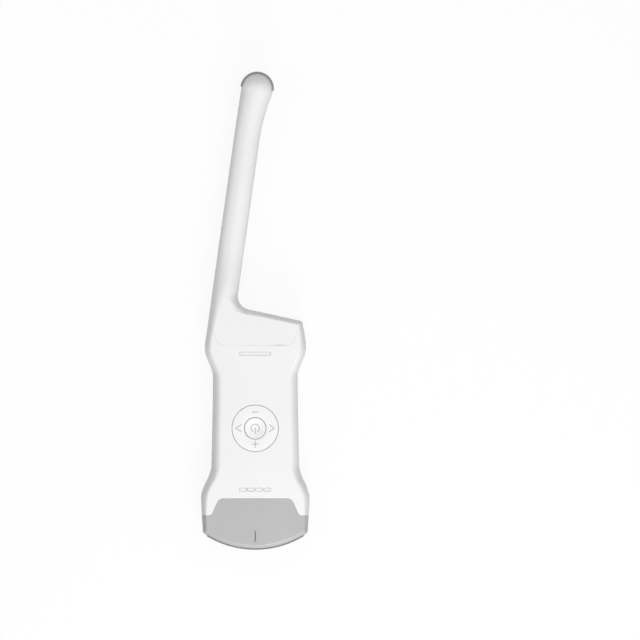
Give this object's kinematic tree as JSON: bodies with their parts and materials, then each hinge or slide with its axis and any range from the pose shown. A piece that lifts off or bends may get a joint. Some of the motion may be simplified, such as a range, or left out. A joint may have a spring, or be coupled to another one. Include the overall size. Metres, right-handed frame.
{
  "type": "handheld ultrasound scanner",
  "caption": "Wireless handheld ultrasound scanner with a wide curved head, a ball-ended probe on a leaning neck, a rocking control ring and a power button.",
  "frame": {"origin": "on the flat back face, under the centre of the control pad", "axes": "+X to the right seen from the front, +Y along the scanner to its ball end, +Z out of the front face"},
  "size_m": [0.0694, 0.3061, 0.0243],
  "materials": {
    "white_casing": "fine satin moulded ABS",
    "grey_casing": "satin moulded ABS, grey",
    "mark_ink": "dark filled groove",
    "gasket": "silicone seal",
    "screw_steel": "machined steel",
    "screw_cap": "pale rubber plugs",
    "wide_lens": "grey acoustic silicone",
    "ball_lens": "pale acoustic silicone",
    "array": "diced ceramic with foil",
    "backing": "filled epoxy",
    "frame_plastic": "moulded nylon",
    "flex": "polyimide flex circuit",
    "cable": "jacketed cable",
    "lead": "red jacketed lead",
    "connector": "board connector",
    "button_plastic": "fine satin moulded ABS",
    "dome_metal": "metal dome switches",
    "window": "milky light window",
    "board": "green circuit board",
    "led": "light emitting diodes",
    "chip": "moulded chip packages",
    "can": "tinned steel",
    "antenna": "ceramic",
    "battery": "wrapped lithium cell",
    "foam": "foam pads"
  },
  "bodies": {
    "handle": {"front_shell": "white_casing", "back_shell": "white_casing", "neck_front_shell": "white_casing", "neck_back_shell": "white_casing", "nose_housing": "grey_casing", "body_gasket": "gasket", "neck_gasket": "gasket", "case_screws": "screw_steel", "screw_plugs": "screw_cap", "midline_mark": "mark_ink", "convex_lens": "wide_lens", "convex_array": "array", "convex_backing": "backing", "head_frame": "frame_plastic", "convex_flex": "flex", "convex_connector": "connector", "tip_lens": "ball_lens", "tip_array": "array", "tip_backing": "backing", "tip_frame": "frame_plastic", "tip_cable": "cable", "tip_connector": "connector", "dome_switches": "dome_metal", "keypad_mat": "gasket", "key_board": "board", "key_screws": "screw_steel", "key_flex": "flex", "key_connector": "connector", "status_window": "window", "gauge_windows": "window", "led_boards": "board", "indicator_leds": "led", "main_board": "board", "board_screws": "screw_steel", "processor": "chip", "beamformer_chips": "chip", "memory_chips": "chip", "radio_module": "can", "antenna": "antenna", "power_inductor": "chip", "battery_pack": "battery", "battery_pads": "foam", "battery_lead": "lead", "charge_port": "can", "port_board": "board", "port_cable": "cable"},
    "gimbal": {"nav_gimbal": "frame_plastic"},
    "ring": {"nav_ring": "button_plastic"},
    "button": {"power_button": "button_plastic"},
    "plug": {"port_plug": "screw_cap"}
  },
  "joints": [
    {"name": "ring_up_down", "type": "hinge", "parent": "handle", "child": "gimbal", "pos_m": [0, 0, 0.0188], "axis": [1, 0, 0], "range_deg": [-2, 2], "stiffness_Nm_per_rad": 1},
    {"name": "ring_left_right", "type": "hinge", "parent": "gimbal", "child": "ring", "pos_m": [0, 0, 0.0188], "axis": [0, 1, 0], "range_deg": [-2, 2], "stiffness_Nm_per_rad": 1},
    {"name": "power_press", "type": "slide", "parent": "handle", "child": "button", "axis": [0, 0, -1], "range_m": [0, 0.0005], "stiffness_N_per_m": 2000},
    {"name": "plug_pull", "type": "slide", "parent": "handle", "child": "plug", "axis": [1, 0, 0], "range_m": [0, 0.006]}
  ]
}
